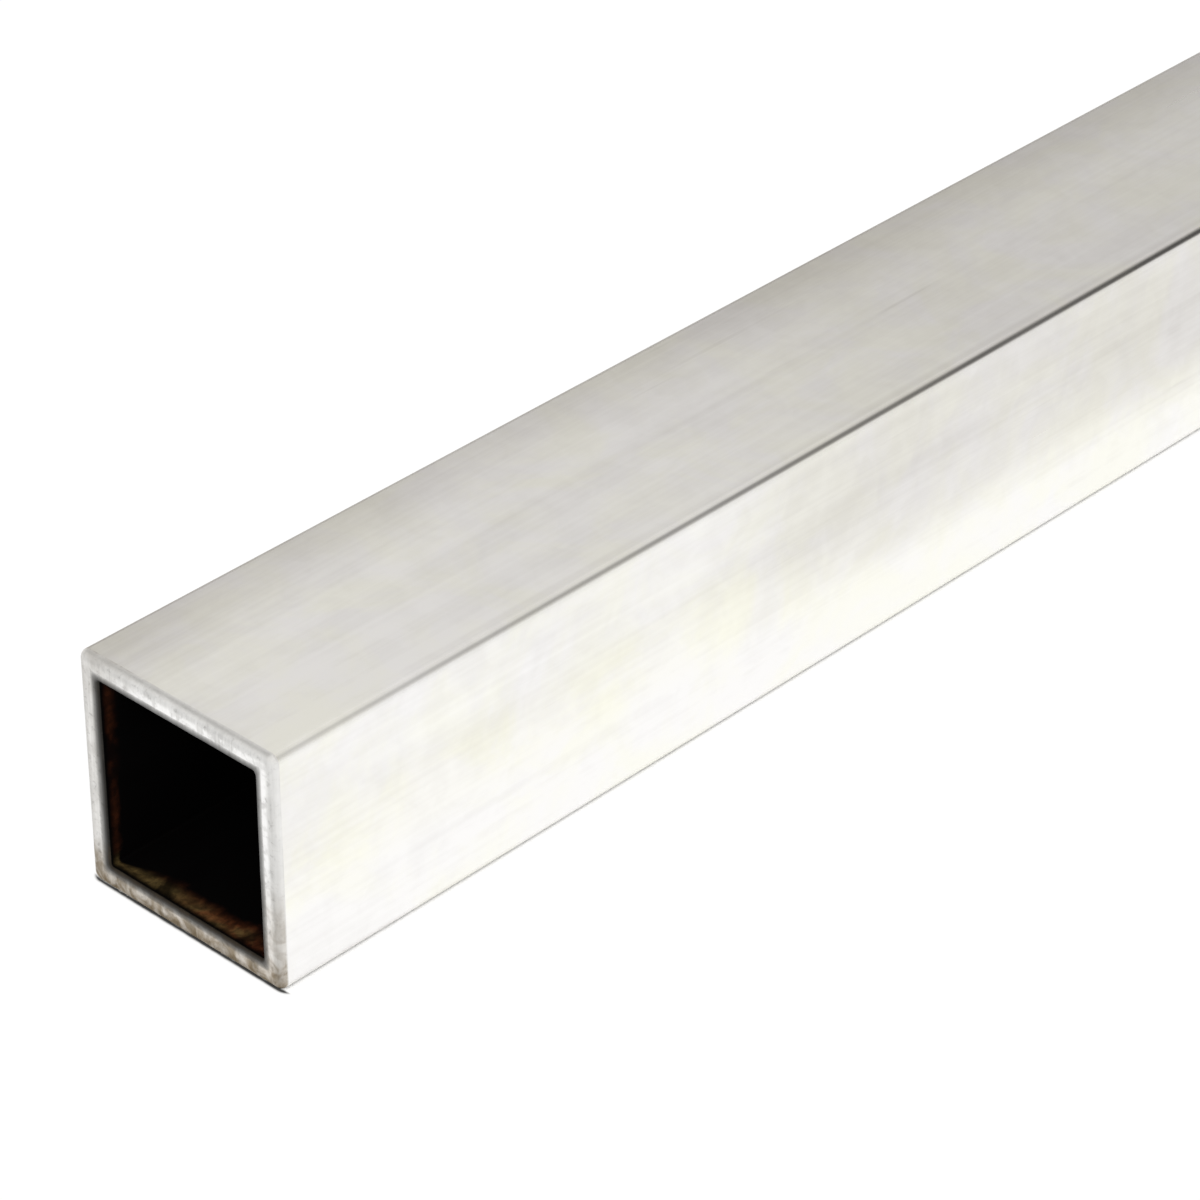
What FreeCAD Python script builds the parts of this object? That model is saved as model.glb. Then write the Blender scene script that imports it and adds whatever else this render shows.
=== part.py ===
import FreeCAD, Part
import math
import os

# Square aluminium tube, one extruded piece with one square bore right through it.
# It lies on a flat. X runs along the tube, Z is up, and the origin is the middle of the underside.
# The long corners keep the small radii of the extrusion die, the outside ones larger than the inside ones.
# Both ends are sawn square. Deburring has rounded each outside rim and bevelled each mouth of the bore.

# Driving sizes, in millimetres.
LENGTH = 500.0  # sawn length
SIDE = 20.0  # across the flats, both ways
WALL = 2.0  # thickness of all four walls
OUTSIDE_CORNER_R = 0.8  # long outside corners
INSIDE_CORNER_R = 0.2  # long corners of the bore
RIM_R = 0.6  # rounding of the outside rim at each sawn end
MOUTH_BEVEL = 0.2  # 45 degree bevel at each mouth of the bore

# Sizes that follow from the driving ones.
BORE_SIDE = SIDE - 2 * WALL
AXIS_HEIGHT = SIDE / 2

QUARTER_TURN = math.pi / 2
NODE = "square_tube"


def across(x, y, z, quarter):
    """A point at y, z from the tube's axis, turned about that axis by some quarter turns."""
    angle = quarter * QUARTER_TURN
    turned_y = y * math.cos(angle) - z * math.sin(angle)
    turned_z = y * math.sin(angle) + z * math.cos(angle)
    return FreeCAD.Vector(x, turned_y, AXIS_HEIGHT + turned_z)


def rounded_square(side, corner_r, x):
    """A closed wire across the tube at x, with four flats and four quarter-circle corners."""
    face = side / 2
    flat_end = face - corner_r
    mid_arc = flat_end + corner_r * math.sin(QUARTER_TURN / 2)
    edges = []
    for quarter in range(4):
        flat_start = across(x, face, -flat_end, quarter)
        corner_start = across(x, face, flat_end, quarter)
        corner_middle = across(x, mid_arc, mid_arc, quarter)
        corner_end = across(x, flat_end, face, quarter)
        edges.append(Part.LineSegment(flat_start, corner_start).toShape())
        edges.append(Part.Arc(corner_start, corner_middle, corner_end).toShape())
    return Part.Wire(edges)


def extruded_tube():
    """The tube as the die and the saw leave it, with sharp edges round both ends."""
    outside = rounded_square(SIDE, OUTSIDE_CORNER_R, -LENGTH / 2)
    inside = rounded_square(BORE_SIDE, INSIDE_CORNER_R, -LENGTH / 2)
    section = Part.makeFace([outside, inside], "Part::FaceMakerBullseye")
    return section.extrude(FreeCAD.Vector(LENGTH, 0, 0))


def end_edges(tube, outside):
    """The edges round both sawn ends, either those of the outside rim or those of the bore's mouth."""
    middle_of_wall = (SIDE - WALL) / 2
    chosen = []
    for edge in tube.Edges:
        box = edge.BoundBox
        reach = max(abs(box.YMin), abs(box.YMax), abs(box.ZMin - AXIS_HEIGHT), abs(box.ZMax - AXIS_HEIGHT))
        runs_across = box.XLength < LENGTH / 2
        if runs_across and (reach > middle_of_wall) == outside:
            chosen.append(edge)
    return chosen


def deburred(tube):
    """The tube with both outside rims rounded and both mouths of the bore bevelled."""
    rounded = tube.makeFillet(RIM_R, end_edges(tube, outside=True))
    return rounded.makeChamfer(MOUTH_BEVEL, end_edges(rounded, outside=False))


os.makedirs("parts", exist_ok=True)
square_tube = deburred(extruded_tube())
square_tube.exportStep(os.path.join("parts", NODE + ".step"))
print(NODE, "solids", len(square_tube.Solids), "faces", len(square_tube.Faces), "valid", square_tube.isValid())
print("volume", round(square_tube.Volume, 1), "mm3, box", square_tube.BoundBox)
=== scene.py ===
# %% [markdown]
# A square aluminium tube in Blender
#
# The real object is a length of extruded square tube: one piece of metal with one square hole
# through it. This lesson takes the exact tube from the CAD program and gives it a real surface.
# The first step loads that tube. It stays fixed, and gives every size that follows.

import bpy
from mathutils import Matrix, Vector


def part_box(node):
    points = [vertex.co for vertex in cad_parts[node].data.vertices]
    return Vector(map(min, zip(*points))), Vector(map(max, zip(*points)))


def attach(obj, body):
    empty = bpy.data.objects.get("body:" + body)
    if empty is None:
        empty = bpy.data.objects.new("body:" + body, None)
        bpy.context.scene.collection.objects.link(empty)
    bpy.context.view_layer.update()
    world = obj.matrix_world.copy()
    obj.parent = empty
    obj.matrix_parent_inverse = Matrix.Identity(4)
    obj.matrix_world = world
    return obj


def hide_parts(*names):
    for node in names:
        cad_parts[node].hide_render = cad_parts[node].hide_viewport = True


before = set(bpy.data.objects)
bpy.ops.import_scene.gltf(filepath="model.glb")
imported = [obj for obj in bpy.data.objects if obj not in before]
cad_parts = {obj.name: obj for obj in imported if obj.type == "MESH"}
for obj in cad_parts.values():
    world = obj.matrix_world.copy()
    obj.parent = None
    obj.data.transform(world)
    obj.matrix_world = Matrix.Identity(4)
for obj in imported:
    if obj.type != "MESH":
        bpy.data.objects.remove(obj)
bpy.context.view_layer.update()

# %% [markdown]
# Sizes
#
# The length and the side are read from the CAD tube. The wall and the small radii can't be read
# from a box, so they are repeated here, in metres. The tube lies along X with its underside on
# the floor at Z = 0.

# %% Read the tube's sizes
import math

import bpy
import numpy as np
from mathutils import Matrix, Vector

MM = 0.001
low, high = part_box("square_tube")
LENGTH = high.x - low.x
SIDE = high.z - low.z
WALL = 2.0 * MM
OUTSIDE_CORNER = 0.8 * MM
INSIDE_CORNER = 0.2 * MM
RIM = 0.6 * MM
MOUTH_BEVEL = 0.2 * MM
print(f"tube {LENGTH / MM:.0f} x {SIDE / MM:.0f} x {SIDE / MM:.0f} mm, wall {WALL / MM:.1f} mm")

# %% [markdown]
# The camera
#
# The photograph is taken from above the near end, with the tube running away to the right. Its
# straight edges meet at vanishing points, and those fix the camera: how far round it stands, how
# high, how near and with what lens. A short distance and a long lens give the same tube another
# taper, so both come from the edges and not from a guess.

# %% Place the camera where the photograph was taken
VIEW_ROUND = math.radians(-46.53)
VIEW_UP = math.radians(33.13)
CAMERA_FROM_NEAR_END = (-8.941, -10.502, 10.374)  # in sides of the tube
FOCAL_LENGTH_IN_FRAMES = 4826 / 1200  # the focal length, counted in widths of the picture
SENSOR = 36.0
NEAREST_SEEN, FURTHEST_SEEN = 0.01, 200.0

back = Vector((math.sin(VIEW_ROUND) * math.cos(VIEW_UP),
               -math.cos(VIEW_ROUND) * math.cos(VIEW_UP),
               math.sin(VIEW_UP)))
right = Vector((0, 0, 1)).cross(back).normalized()
up = back.cross(right)
spot = Vector((low.x, 0, 0)) + Vector(CAMERA_FROM_NEAR_END) * SIDE

lens = bpy.data.cameras.new("portrait_lens")
lens.sensor_width = SENSOR
lens.lens = SENSOR * FOCAL_LENGTH_IN_FRAMES
lens.clip_start, lens.clip_end = NEAREST_SEEN, FURTHEST_SEEN
camera = bpy.data.objects.new("portrait_camera", lens)
camera.matrix_world = Matrix.Translation(spot) @ Matrix((right, up, back)).transposed().to_4x4()
bpy.context.scene.collection.objects.link(camera)
bpy.context.scene.camera = camera
bpy.context.scene.view_settings.view_transform = "Standard"
print(f"camera {spot.length:.3f} m from the tube's middle, lens {lens.lens:.1f} mm")

# %% [markdown]
# Building shaders in code
#
# A shader is a web of nodes. A few short helpers keep the code readable: one adds a node, one
# joins outputs to inputs, and the others add the kinds of node that come back again and again.
# Wherever a helper takes a value, it takes either a number or the output of another node.

# %% Helpers that add nodes and do sums with them
def node(tree, kind, inputs=None, **settings):
    """Adds a node of one kind, sets its settings, and sets or joins its inputs."""
    made = tree.nodes.new(kind)
    for name, value in settings.items():
        setattr(made, name, value)
    for name, value in (inputs or {}).items():
        feed(tree, made.inputs[name], value)
    return made


def feed(tree, socket, value):
    """Gives an input its value: an output is joined to it, anything else is set."""
    if isinstance(value, bpy.types.NodeSocket):
        tree.links.new(value, socket)
    else:
        socket.default_value = value


def sum_of(tree, operation, a, b=0.0, c=0.0, clamp=False):
    """One sum, product or other rule of arithmetic on a, b and c."""
    given = {0: a, 1: b, 2: c}
    return node(tree, "ShaderNodeMath", given, operation=operation, use_clamp=clamp).outputs[0]


def product(tree, total, *factors):
    """All the values multiplied together."""
    for factor in factors:
        total = sum_of(tree, "MULTIPLY", total, factor)
    return total


def add_shares(tree, total, shares, marks):
    """A start value plus each named mark times its share."""
    for name, share in shares.items():
        total = sum_of(tree, "MULTIPLY_ADD", marks[name], share, total)
    return total


def fade(tree, value, start, stop, low=0.0, high=1.0):
    """Goes from low to high as the value goes from start to stop, gently at both ends."""
    given = {"Value": value, "From Min": start, "From Max": stop, "To Min": low, "To Max": high}
    return node(tree, "ShaderNodeMapRange", given, interpolation_type="SMOOTHSTEP").outputs[0]


print("sums for shaders:", [f.__name__ for f in (sum_of, product, add_shares, fade)])

# %% Helpers for noise and colour
BLACK, WHITE = (0, 0, 0, 1), (1, 1, 1, 1)


def parts_of(tree, place):
    """The X, Y and Z of a place."""
    return node(tree, "ShaderNodeSeparateXYZ", {0: place}).outputs


def grain(tree, place, scale, detail=2.0, roughness=0.5, distortion=0.0):
    """Cloud-like noise from 0 to 1 at a place. The scale is in clouds for each metre."""
    given = {"Vector": place, "Scale": scale, "Detail": detail,
             "Roughness": roughness, "Distortion": distortion}
    return node(tree, "ShaderNodeTexNoise", given).outputs[0]


def blend(tree, amount, first, second, way="MIX"):
    """A colour between two colours: the first at amount 0, the second at amount 1. The way
    MULTIPLY lays the second over the first like a stain. The way LIGHTEN lets the second show
    only where it is the lighter one, like dust."""
    mixed = node(tree, "ShaderNodeMix", data_type="RGBA", blend_type=way)
    feed(tree, mixed.inputs[0], amount)
    feed(tree, mixed.inputs[6], first)
    feed(tree, mixed.inputs[7], second)
    return mixed.outputs[2]


def ramp(tree, value, stops):
    """A colour for each value from 0 to 1, blended between (position, colour) stops."""
    made = node(tree, "ShaderNodeValToRGB", {0: value})
    elements = made.color_ramp.elements
    while len(elements) < len(stops):
        elements.new(0.5)
    for element, (position, colour) in zip(elements, stops):
        element.position = position
        element.color = (*colour, 1)
    return made.outputs[0]


print("noise and colour for shaders:", [f.__name__ for f in (grain, blend, ramp)])

# %% [markdown]
# The floor
#
# The tube lies on plain pale card. The card is one large flat square, a hair below the tube, so
# that the two never lie in the same plane and flicker.

# %% Lay the white card
FLOOR_HALF = 40.0
FLOOR_DROP = 0.02 * MM

floor_mesh = bpy.data.meshes.new("white_card")
corners = [(x * FLOOR_HALF, y * FLOOR_HALF, -FLOOR_DROP)
           for x, y in ((-1, -1), (1, -1), (1, 1), (-1, 1))]
floor_mesh.from_pydata(corners, [], [(0, 1, 2, 3)])
floor = bpy.data.objects.new("white_card", floor_mesh)
bpy.context.scene.collection.objects.link(floor)
print("white card laid,", floor_mesh.polygons[0].area, "m2")

# %% [markdown]
# The line under the tube
#
# Where metal rests on card, hardly any light gets in, and a thin dark line follows the edge. The
# light alone would leave it too pale here, so the card is greyer under the tube. The edge of that
# grey is a rounded oblong: outside the straight sides of a smaller oblong, the distance is the
# root of the two squares, as in any right triangle. Noise makes the line a little uneven. It is
# darkest and sharpest at the ends, where the metal stands off the card by its rounded rim.

# %% Shade the line on the card
LINE_FADE = (0.04 * MM, 0.55 * MM)  # how far outside the tube the line fades
LINE_SHORTER = 0.33 * MM
LINE_CORNER = 0.7 * MM
SHARPER_AT_ENDS = 1.5
GREY_BESIDE, GREY_AT_ENDS = 0.89, 0.06
GREY_FADE = (-0.55 * MM, -0.30 * MM)
UNEVEN_SPOTS = 700.0  # for each metre
LINE_UNEVEN, GREY_UNEVEN = 0.18 * MM, -0.54 * MM

card = bpy.data.materials.new("white_card")
card.use_nodes = True
tree = card.node_tree
tree.nodes.clear()
on_card = node(tree, "ShaderNodeTexCoord").outputs["Object"]
at = parts_of(tree, on_card)
beyond_end = sum_of(tree, "SUBTRACT", sum_of(tree, "ABSOLUTE", at["X"]), LENGTH / 2)
beyond_side = sum_of(tree, "SUBTRACT", sum_of(tree, "ABSOLUTE", at["Y"]), SIDE / 2)
lengthwise = sum_of(tree, "MULTIPLY_ADD", beyond_end, SHARPER_AT_ENDS, LINE_CORNER + LINE_SHORTER)
lengthwise = sum_of(tree, "MAXIMUM", lengthwise, 0.0)
crosswise = sum_of(tree, "MAXIMUM", sum_of(tree, "ADD", beyond_side, LINE_CORNER), 0.0)
squares = [sum_of(tree, "POWER", reach, 2.0) for reach in (lengthwise, crosswise)]
root = sum_of(tree, "SQRT", sum_of(tree, "ADD", *squares))
from_tube = sum_of(tree, "SUBTRACT", root, LINE_CORNER)
uneven = sum_of(tree, "SUBTRACT", grain(tree, on_card, UNEVEN_SPOTS, detail=3.0, roughness=0.6), 0.5)
from_tube = sum_of(tree, "MULTIPLY_ADD", uneven, LINE_UNEVEN, from_tube)
beyond_end = sum_of(tree, "MULTIPLY_ADD", uneven, GREY_UNEVEN, beyond_end)
clear = fade(tree, from_tube, *LINE_FADE)
grey = fade(tree, beyond_end, *GREY_FADE, GREY_BESIDE, GREY_AT_ENDS)
grey = sum_of(tree, "MAXIMUM", clear, grey)
print(f"line under the tube, gone {LINE_FADE[1] / MM:.2f} mm outside it")

# %% [markdown]
# White card
#
# The picture has a white ground, and a matt card lit softly comes out a little below white. More
# light would wash out the metal. So the card is topped up to full white for the camera and for
# reflections only, and the metal mirrors the same ground. The lamps still light a part of it, so
# the tube leaves a soft shadow.

# %% Make the card white for the camera and in reflections
TOP_UP = 0.86
PAPER = (0.94, 0.94, 0.937, 1)
PAPER_ROUGHNESS = 0.6

path = node(tree, "ShaderNodeLightPath").outputs
seen = sum_of(tree, "MAXIMUM", path["Is Camera Ray"], path["Is Glossy Ray"])
seen = sum_of(tree, "MAXIMUM", seen, path["Is Transmission Ray"])
topped = product(tree, seen, TOP_UP, clear)
matt = {"Color": blend(tree, grey, BLACK, PAPER), "Roughness": PAPER_ROUGHNESS}
paper = node(tree, "ShaderNodeBsdfDiffuse", matt)
white = node(tree, "ShaderNodeEmission", {"Color": WHITE, "Strength": 1.0})
mix = node(tree, "ShaderNodeMixShader", {0: topped, 1: paper.outputs[0], 2: white.outputs[0]})
node(tree, "ShaderNodeOutputMaterial", {"Surface": mix.outputs[0]})
floor_mesh.materials.append(card)
print(f"card topped up by {TOP_UP} where it is seen")

# %% [markdown]
# The light
#
# Metal has hardly any colour of its own: it shows what stands round it. So the studio matters
# more than the lamps. The room is drawn in the world shader as brightness by direction. It is
# brightest behind the camera's left shoulder, greyer and a little warmer ahead, and plain white
# all round the horizon, where it meets the card.

# %% Paint the studio round the tube
BRIGHT_SIDE = Vector((-0.85, -0.25, 0.46)).normalized()
ROOM = ((-1.0, 0.30), (-0.64, 0.42), (-0.34, 0.82), (0.10, 0.88), (0.60, 0.97), (1.0, 1.05))
DIM_TINT, BRIGHT_TINT = Vector((1.0, 0.968, 0.945)), Vector((1.0, 0.992, 0.970))
BRIGHTEST = 1.1

room = bpy.data.worlds.new("studio")
bpy.context.scene.world = room
room.use_nodes = True
tree = room.node_tree
tree.nodes.clear()
way = node(tree, "ShaderNodeTexCoord").outputs["Generated"]


def towards(direction):
    """How nearly a ray runs in one direction: 1 straight at it, 0 at a right angle, -1 away."""
    given = {0: way, 1: direction}
    return node(tree, "ShaderNodeVectorMath", given, operation="DOT_PRODUCT").outputs["Value"]


stops = []
for nearness, level in ROOM:
    share = level / BRIGHTEST
    stops.append(((nearness + 1) / 2, DIM_TINT.lerp(BRIGHT_TINT, share) * share))
wall_colour = ramp(tree, sum_of(tree, "MULTIPLY_ADD", towards(BRIGHT_SIDE), 0.5, 0.5), stops)
print("studio painted, brightest at", [round(c, 2) for c in BRIGHT_SIDE])

# %% [markdown]
# Flags
#
# Two soft flags hang in the room, as photographers hang them to draw dark lines along metal
# edges. The black one, far to the right, darkens the long corner towards the far end. The grey
# one, high at the back, draws the line where the top turns over into the sawn end. A flag is a
# patch of sky round one direction, full within one angle and gone beyond another.

# %% Hang the two flags
BLACK_FLAG = (-21, 20, 13, 31, 0.99)  # round, up, full within and gone beyond, in degrees; how dark
GREY_FLAG = (104, 53, 14, 35, 0.62)
HORIZON_EDGE, HORIZON_FADE = 0.12, 0.22  # sines of the height above the horizon


def hang_flag(colour, around, above, inner, outer, depth):
    """A round soft-edged flag: the room goes dark near one direction."""
    around, above, inner, outer = (math.radians(angle) for angle in (around, above, inner, outer))
    middle = Vector((math.cos(above) * math.cos(around),
                     math.cos(above) * math.sin(around),
                     math.sin(above)))
    share = fade(tree, towards(middle), math.cos(outer), math.cos(inner), 0.0, depth)
    return blend(tree, share, colour, BLACK)


flagged = hang_flag(hang_flag(wall_colour, *GREY_FLAG), *BLACK_FLAG)
height = sum_of(tree, "ABSOLUTE", towards(Vector((0, 0, 1))))
plain_white = (1 / BRIGHTEST, 1 / BRIGHTEST, 1 / BRIGHTEST, 1)
near_horizon = fade(tree, height, HORIZON_FADE, HORIZON_EDGE)
seen_room = blend(tree, near_horizon, flagged, plain_white)
shine = node(tree, "ShaderNodeBackground", {"Color": seen_room, "Strength": BRIGHTEST})
node(tree, "ShaderNodeOutputWorld", {"Surface": shine.outputs[0]})
print("flags at", BLACK_FLAG[:2], "and", GREY_FLAG[:2], "degrees round and up")

# %% [markdown]
# One large soft lamp
#
# The room alone gives a light with no direction. A wide lamp high on the left, well outside
# every view, adds a gentle one on the card and in the bore. The metal shows the painted room
# instead of the lamp, which would sit on each round corner as a hard white dot.

# %% Hang a soft lamp
LAMP_PLACE = Vector((-2.6, -1.8, 2.9))
LAMP_SIZE = 2.4
LAMP_POWER = 105

lamp_data = bpy.data.lights.new("soft_lamp", "AREA")
lamp_data.shape = "DISK"
lamp_data.size = LAMP_SIZE
lamp_data.energy = LAMP_POWER
lamp = bpy.data.objects.new("soft_lamp", lamp_data)
lamp_aim = LAMP_PLACE.to_track_quat("Z", "Y").to_matrix().to_4x4()
lamp.matrix_world = Matrix.Translation(LAMP_PLACE) @ lamp_aim
lamp.visible_glossy = False
bpy.context.scene.collection.objects.link(lamp)
print(f"soft lamp {LAMP_PLACE.length:.1f} m away, {LAMP_SIZE} m wide")

# %% [markdown]
# Round the section
#
# Cut across, the tube is a square ring with small round corners. A point on it is given by one
# number that runs once round: along a flat, round a corner, along the next flat. The same
# number serves at every depth in the wall, so the corners of the outside, the end face and the
# bore all line up and the surface never twists.

# %% One turn round the section
FLAT_CELLS = 132
CORNER_CELLS = 16
FLATS_FACE = np.array([(-1.0, 0.0), (0.0, -1.0), (1.0, 0.0), (0.0, 1.0)])  # in (Y, Z)


def once_round():
    """Along each flat a slide runs from -1 to 1 and the turn stays 0. Round each corner the
    slide stays 1 and the turn runs from 0 to a quarter circle. Also gives, for each step, the
    direction its flat faces and the direction in which it runs."""
    slide = np.r_[np.linspace(-1, 1, FLAT_CELLS, endpoint=False), np.ones(CORNER_CELLS)]
    turn = np.r_[np.zeros(FLAT_CELLS), np.linspace(0, math.pi / 2, CORNER_CELLS, endpoint=False)]
    quarter = np.repeat(np.arange(4), len(slide))
    return np.tile(slide, 4), np.tile(turn, 4), FLATS_FACE[quarter], FLATS_FACE[(quarter + 1) % 4]


slide, turn, facing_way, running_way = once_round()
AROUND = len(slide)
print(AROUND, "steps round the section")

# %% [markdown]
# Along the surface
#
# Lengthwise the surface is a closed line as well: out along the outside, over the rounded rim,
# in across the sawn end, down the bevel, back through the bore, and out again at the other end.
# A tube is a ring doughnut, so this grid closes on itself both ways and has no seam and no pole.
# Rows stand close together at the ends, where the shape turns, and far apart along the flats.

# %% One line along the outside, over an end, and back through the bore
OUTSIDE_GAPS, BORE_GAPS = 44, 18  # even gaps in the middle stretch
RIM_ROWS = 6
RING_ROWS = 14
BEVEL_ROWS = 3
FIRST_GAP = 0.06 * MM
GAP_GROWTH = 1.75
MOST_GROWING_GAPS = 12


def graded(half, even_gaps):
    """Places from -half to half. The gaps grow from each end by a fixed ratio until they reach
    the even gap of the middle stretch."""
    gaps = FIRST_GAP * GAP_GROWTH ** np.arange(MOST_GROWING_GAPS)
    gaps = gaps[gaps < half / even_gaps * 2]
    ends = np.cumsum(gaps)
    middle = np.linspace(-half + ends[-1], half - ends[-1], even_gaps + 1)
    return np.r_[-half, -half + ends[:-1], middle, half - ends[:-1][::-1], half]


def along_the_surface():
    """Rows of (x, depth below the outside), once round the doughnut, and how many rows the
    outside, one end and the bore have."""
    end = LENGTH / 2
    outside = graded(end - RIM, OUTSIDE_GAPS)
    bend = np.linspace(0, math.pi / 2, RIM_ROWS + 1)[1:]
    ring = np.linspace(RIM, WALL - MOUTH_BEVEL, RING_ROWS + 1)[1:]
    bevel = np.linspace(0, MOUTH_BEVEL, BEVEL_ROWS + 1)[1:]
    over = np.concatenate([
        np.c_[end - RIM + RIM * np.sin(bend), RIM * (1 - np.cos(bend))],
        np.c_[np.full(RING_ROWS, end), ring],
        np.c_[end - bevel, WALL - MOUTH_BEVEL + bevel],
    ])
    bore = graded(end - MOUTH_BEVEL, BORE_GAPS)[1:-1][::-1]
    return np.concatenate([
        np.c_[outside, np.zeros(len(outside))],
        over,
        np.c_[bore, np.full(len(bore), WALL)],
        over[::-1] * (-1, 1),
    ]), len(outside), len(over), len(bore)


rows, OUTSIDE_ROWS, END_ROWS, BORE_ROWS = along_the_surface()
ALONG = len(rows)
print(ALONG, "rows along the surface,", 2 * ALONG * AROUND, "triangles")

# %% [markdown]
# Marks that are shape
#
# Three marks are deep enough to be shape and not only shading. The die drags fine lines along
# the whole length. The saw leaves ridges across each end, all running the same way. The bevel
# and the rim are broken by hand, so their width wanders a little. Every mark only takes metal
# away, so the tube never grows past its CAD size.

# %% Die lines, and edges that wander
MARKS_SEED = 20
DIE_WAVES, RIM_WAVES, BEVEL_WAVES = 150, 24, 40
DIE_LINE_DEPTH = 0.006 * MM
HAND_WANDER = 0.07 * MM

rng = np.random.default_rng(MARKS_SEED)


def smooth_noise(n, waves):
    """A gentle random line through n steps, closed on itself: a sum of waves with random phase,
    each next one weaker in proportion to the root of how fast it runs."""
    t = np.arange(n) / n * 2 * math.pi
    k = np.arange(1, waves + 1)
    phase = rng.uniform(0, 2 * math.pi, waves)
    size = rng.normal(0, 1, waves) / np.sqrt(k)
    line = (size[:, None] * np.sin(k[:, None] * t + phase[:, None])).sum(0)
    return line / np.abs(line).max()


die_lines = 0.5 + 0.5 * smooth_noise(AROUND, DIE_WAVES)
rim_wander = HAND_WANDER * 0.5 * (1 + smooth_noise(AROUND, RIM_WAVES))
bevel_wander = HAND_WANDER * 0.5 * (1 + smooth_noise(AROUND, BEVEL_WAVES))
print(f"die lines to {DIE_LINE_DEPTH / MM} mm, edges wander by {HAND_WANDER / MM:.2f} mm")

# %% Saw ridges
SAW_DEPTH = 0.022 * MM
SAW_PITCH = 0.62 * MM
SAW_RADIUS = 125 * MM
SAW_LEAN = 30 * MM  # how far the blade's centre stands to one side
RUN_BY_HEIGHT, RUN_BY_ARC = 0.06, 0.15
PUSHED_ALONG, ALONG_PACE = 1.3, 0.31
PUSHED_UP, UP_PACE = 0.8, 9
RIDGE_MEAN, RIDGE_SWING, SWING_PACE, SWING_UP_PACE = 0.6, 0.4, 0.173, 4


def saw_ridges(y, z, lean):
    """Ridges along wide arcs, as a round blade leaves them, from 0 to 1. One wave for each
    pitch runs across the end and bends with the distance from the blade's centre. Two slow
    waves push its phase to and fro, and a third one makes some ridges lower than others."""
    arc = np.hypot(y + lean * SAW_LEAN, z - SAW_RADIUS) - SAW_RADIUS
    run = (y + RUN_BY_HEIGHT * z + RUN_BY_ARC * arc) / SAW_PITCH * 2 * math.pi
    push = PUSHED_ALONG * np.sin(run * ALONG_PACE + lean) + PUSHED_UP * np.sin(z / SIDE * UP_PACE)
    swing = RIDGE_SWING * np.sin(run * SWING_PACE + z / SIDE * SWING_UP_PACE)
    return (0.5 + 0.5 * np.sin(run + push)) * (RIDGE_MEAN + swing)


print(f"saw ridges every {SAW_PITCH / MM} mm, {SAW_DEPTH / MM:.3f} mm deep")

# %% [markdown]
# The surface itself
#
# Each row has its depth in the wall. The half side shrinks by that depth, and the corner radius
# goes from the outside corner's to the bore's. A point is then: out along the way its flat
# faces by the straight part plus the radius times the cosine of the turn, and sideways along
# the flat by the slide times the straight part plus the radius times the sine. A mark makes the
# radius a little smaller on the outside and a little larger in the bore.

# %% Work out every point at once
LEVELS_IN_WALL = (0, RIM, WALL - MOUTH_BEVEL, WALL)
CORNER_AT_LEVELS = (OUTSIDE_CORNER, OUTSIDE_CORNER - RIM, INSIDE_CORNER + MOUTH_BEVEL, INSIDE_CORNER)
RIDGES_FROM, RIDGES_STOP = RIM * 0.6, WALL - MOUTH_BEVEL * 0.4

x = rows[:, :1] + np.zeros(AROUND)
depth = rows[:, 1:] + np.zeros(AROUND)
on_ring = np.clip((depth - RIDGES_FROM) / (RIM - RIDGES_FROM), 0, 1) * (depth < RIDGES_STOP)

radius = np.interp(depth, LEVELS_IN_WALL, CORNER_AT_LEVELS)
straight = SIDE / 2 - depth - radius
radius -= np.interp(depth, LEVELS_IN_WALL, (0, 1, 0, 0)) * rim_wander
radius += np.interp(depth, LEVELS_IN_WALL, (0, 0, 1, 0)) * bevel_wander
radius += DIE_LINE_DEPTH * die_lines * ((depth >= WALL) * 1.0 - (depth == 0))
out_by = straight + radius * np.cos(turn)
side_by = slide * straight + radius * np.sin(turn)
y = facing_way[:, 0] * out_by + running_way[:, 0] * side_by
z = facing_way[:, 1] * out_by + running_way[:, 1] * side_by + SIDE / 2
x = x - np.sign(x) * on_ring * SAW_DEPTH * saw_ridges(y, z, np.sign(x))
print("points reach", [round(float(np.abs(c).max()) / MM, 3) for c in (x, y, z)], "mm")

# %% Make the mesh
points = np.stack([x, y, z], -1).reshape(-1, 3)
row = np.arange(ALONG)[:, None]
step = np.arange(AROUND)[None]
next_row, next_step = (row + 1) % ALONG, (step + 1) % AROUND
quads = np.stack([row * AROUND + step, row * AROUND + next_step,
                  next_row * AROUND + next_step, next_row * AROUND + step], -1).reshape(-1, 4)

tube_mesh = bpy.data.meshes.new("aluminium_tube")
tube_mesh.from_pydata(points.tolist(), [], quads.tolist())
tube_mesh.shade_smooth()
tube = bpy.data.objects.new("aluminium_tube", tube_mesh)
bpy.context.scene.collection.objects.link(tube)
axis = Vector((0, 0, SIDE / 2))
outward = sum(quad.normal.dot((quad.center - axis) * Vector((0, 1, 1))) > 0
              for quad in tube_mesh.polygons[:AROUND])
print(len(points), "points,", len(quads), "quads,", outward, "of the first", AROUND, "face outwards")

# %% [markdown]
# Flattening the surface
#
# To paint or bake the tube, its surface is laid flat on a square sheet. A box unwrap would cut
# it in many places. The grid makes it easy to do better: the outside, the bore and each end
# become one straight strip each. Lines along the tube then run along the sheet.

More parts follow.
